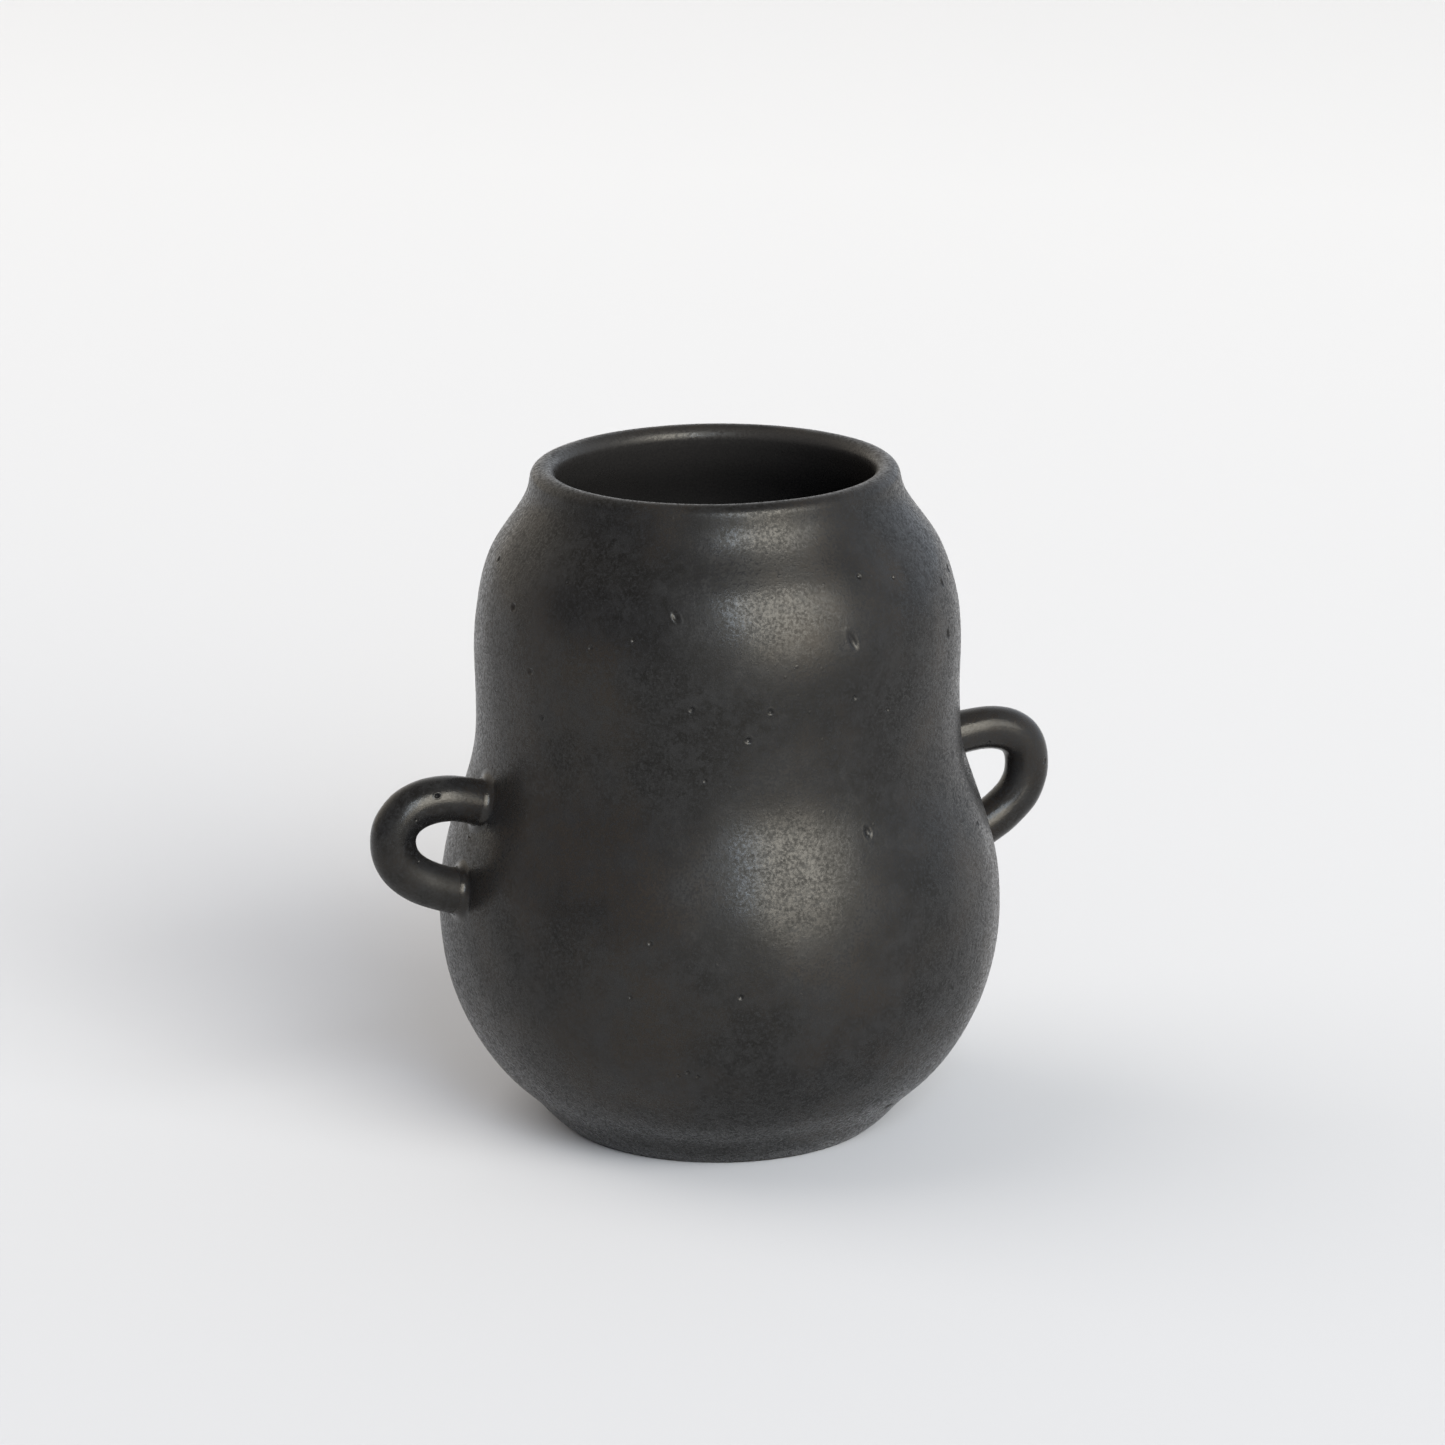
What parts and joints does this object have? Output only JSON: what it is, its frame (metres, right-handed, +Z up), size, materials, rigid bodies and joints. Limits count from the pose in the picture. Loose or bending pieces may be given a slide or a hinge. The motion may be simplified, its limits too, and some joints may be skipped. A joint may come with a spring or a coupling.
{
  "type": "double-gourd clay pot",
  "caption": "Black clay double-gourd pot with a short collar, a rounded lip and a small coil handle on each side of its lower bulb.",
  "frame": {"origin": "centre of the foot's underside, on the surface that the pot stands on", "axes": "+Z up along the pot's axis, +X through the right handle, -X through the left handle"},
  "size_m": [0.1852, 0.1424, 0.17],
  "materials": {
    "foot_clay": "matte",
    "black_clay": "satin",
    "rim_clay": "satin",
    "handle_clay": "satin",
    "luting_clay": "satin"
  },
  "bodies": {
    "root": {"foot_slab": "foot_clay", "lower_bulb": "black_clay", "upper_bulb": "black_clay", "rim_coil": "rim_clay", "left_handle": "handle_clay", "right_handle": "handle_clay", "left_upper_luting": "luting_clay", "left_lower_luting": "luting_clay", "right_upper_luting": "luting_clay", "right_lower_luting": "luting_clay"}
  },
  "joints": []
}
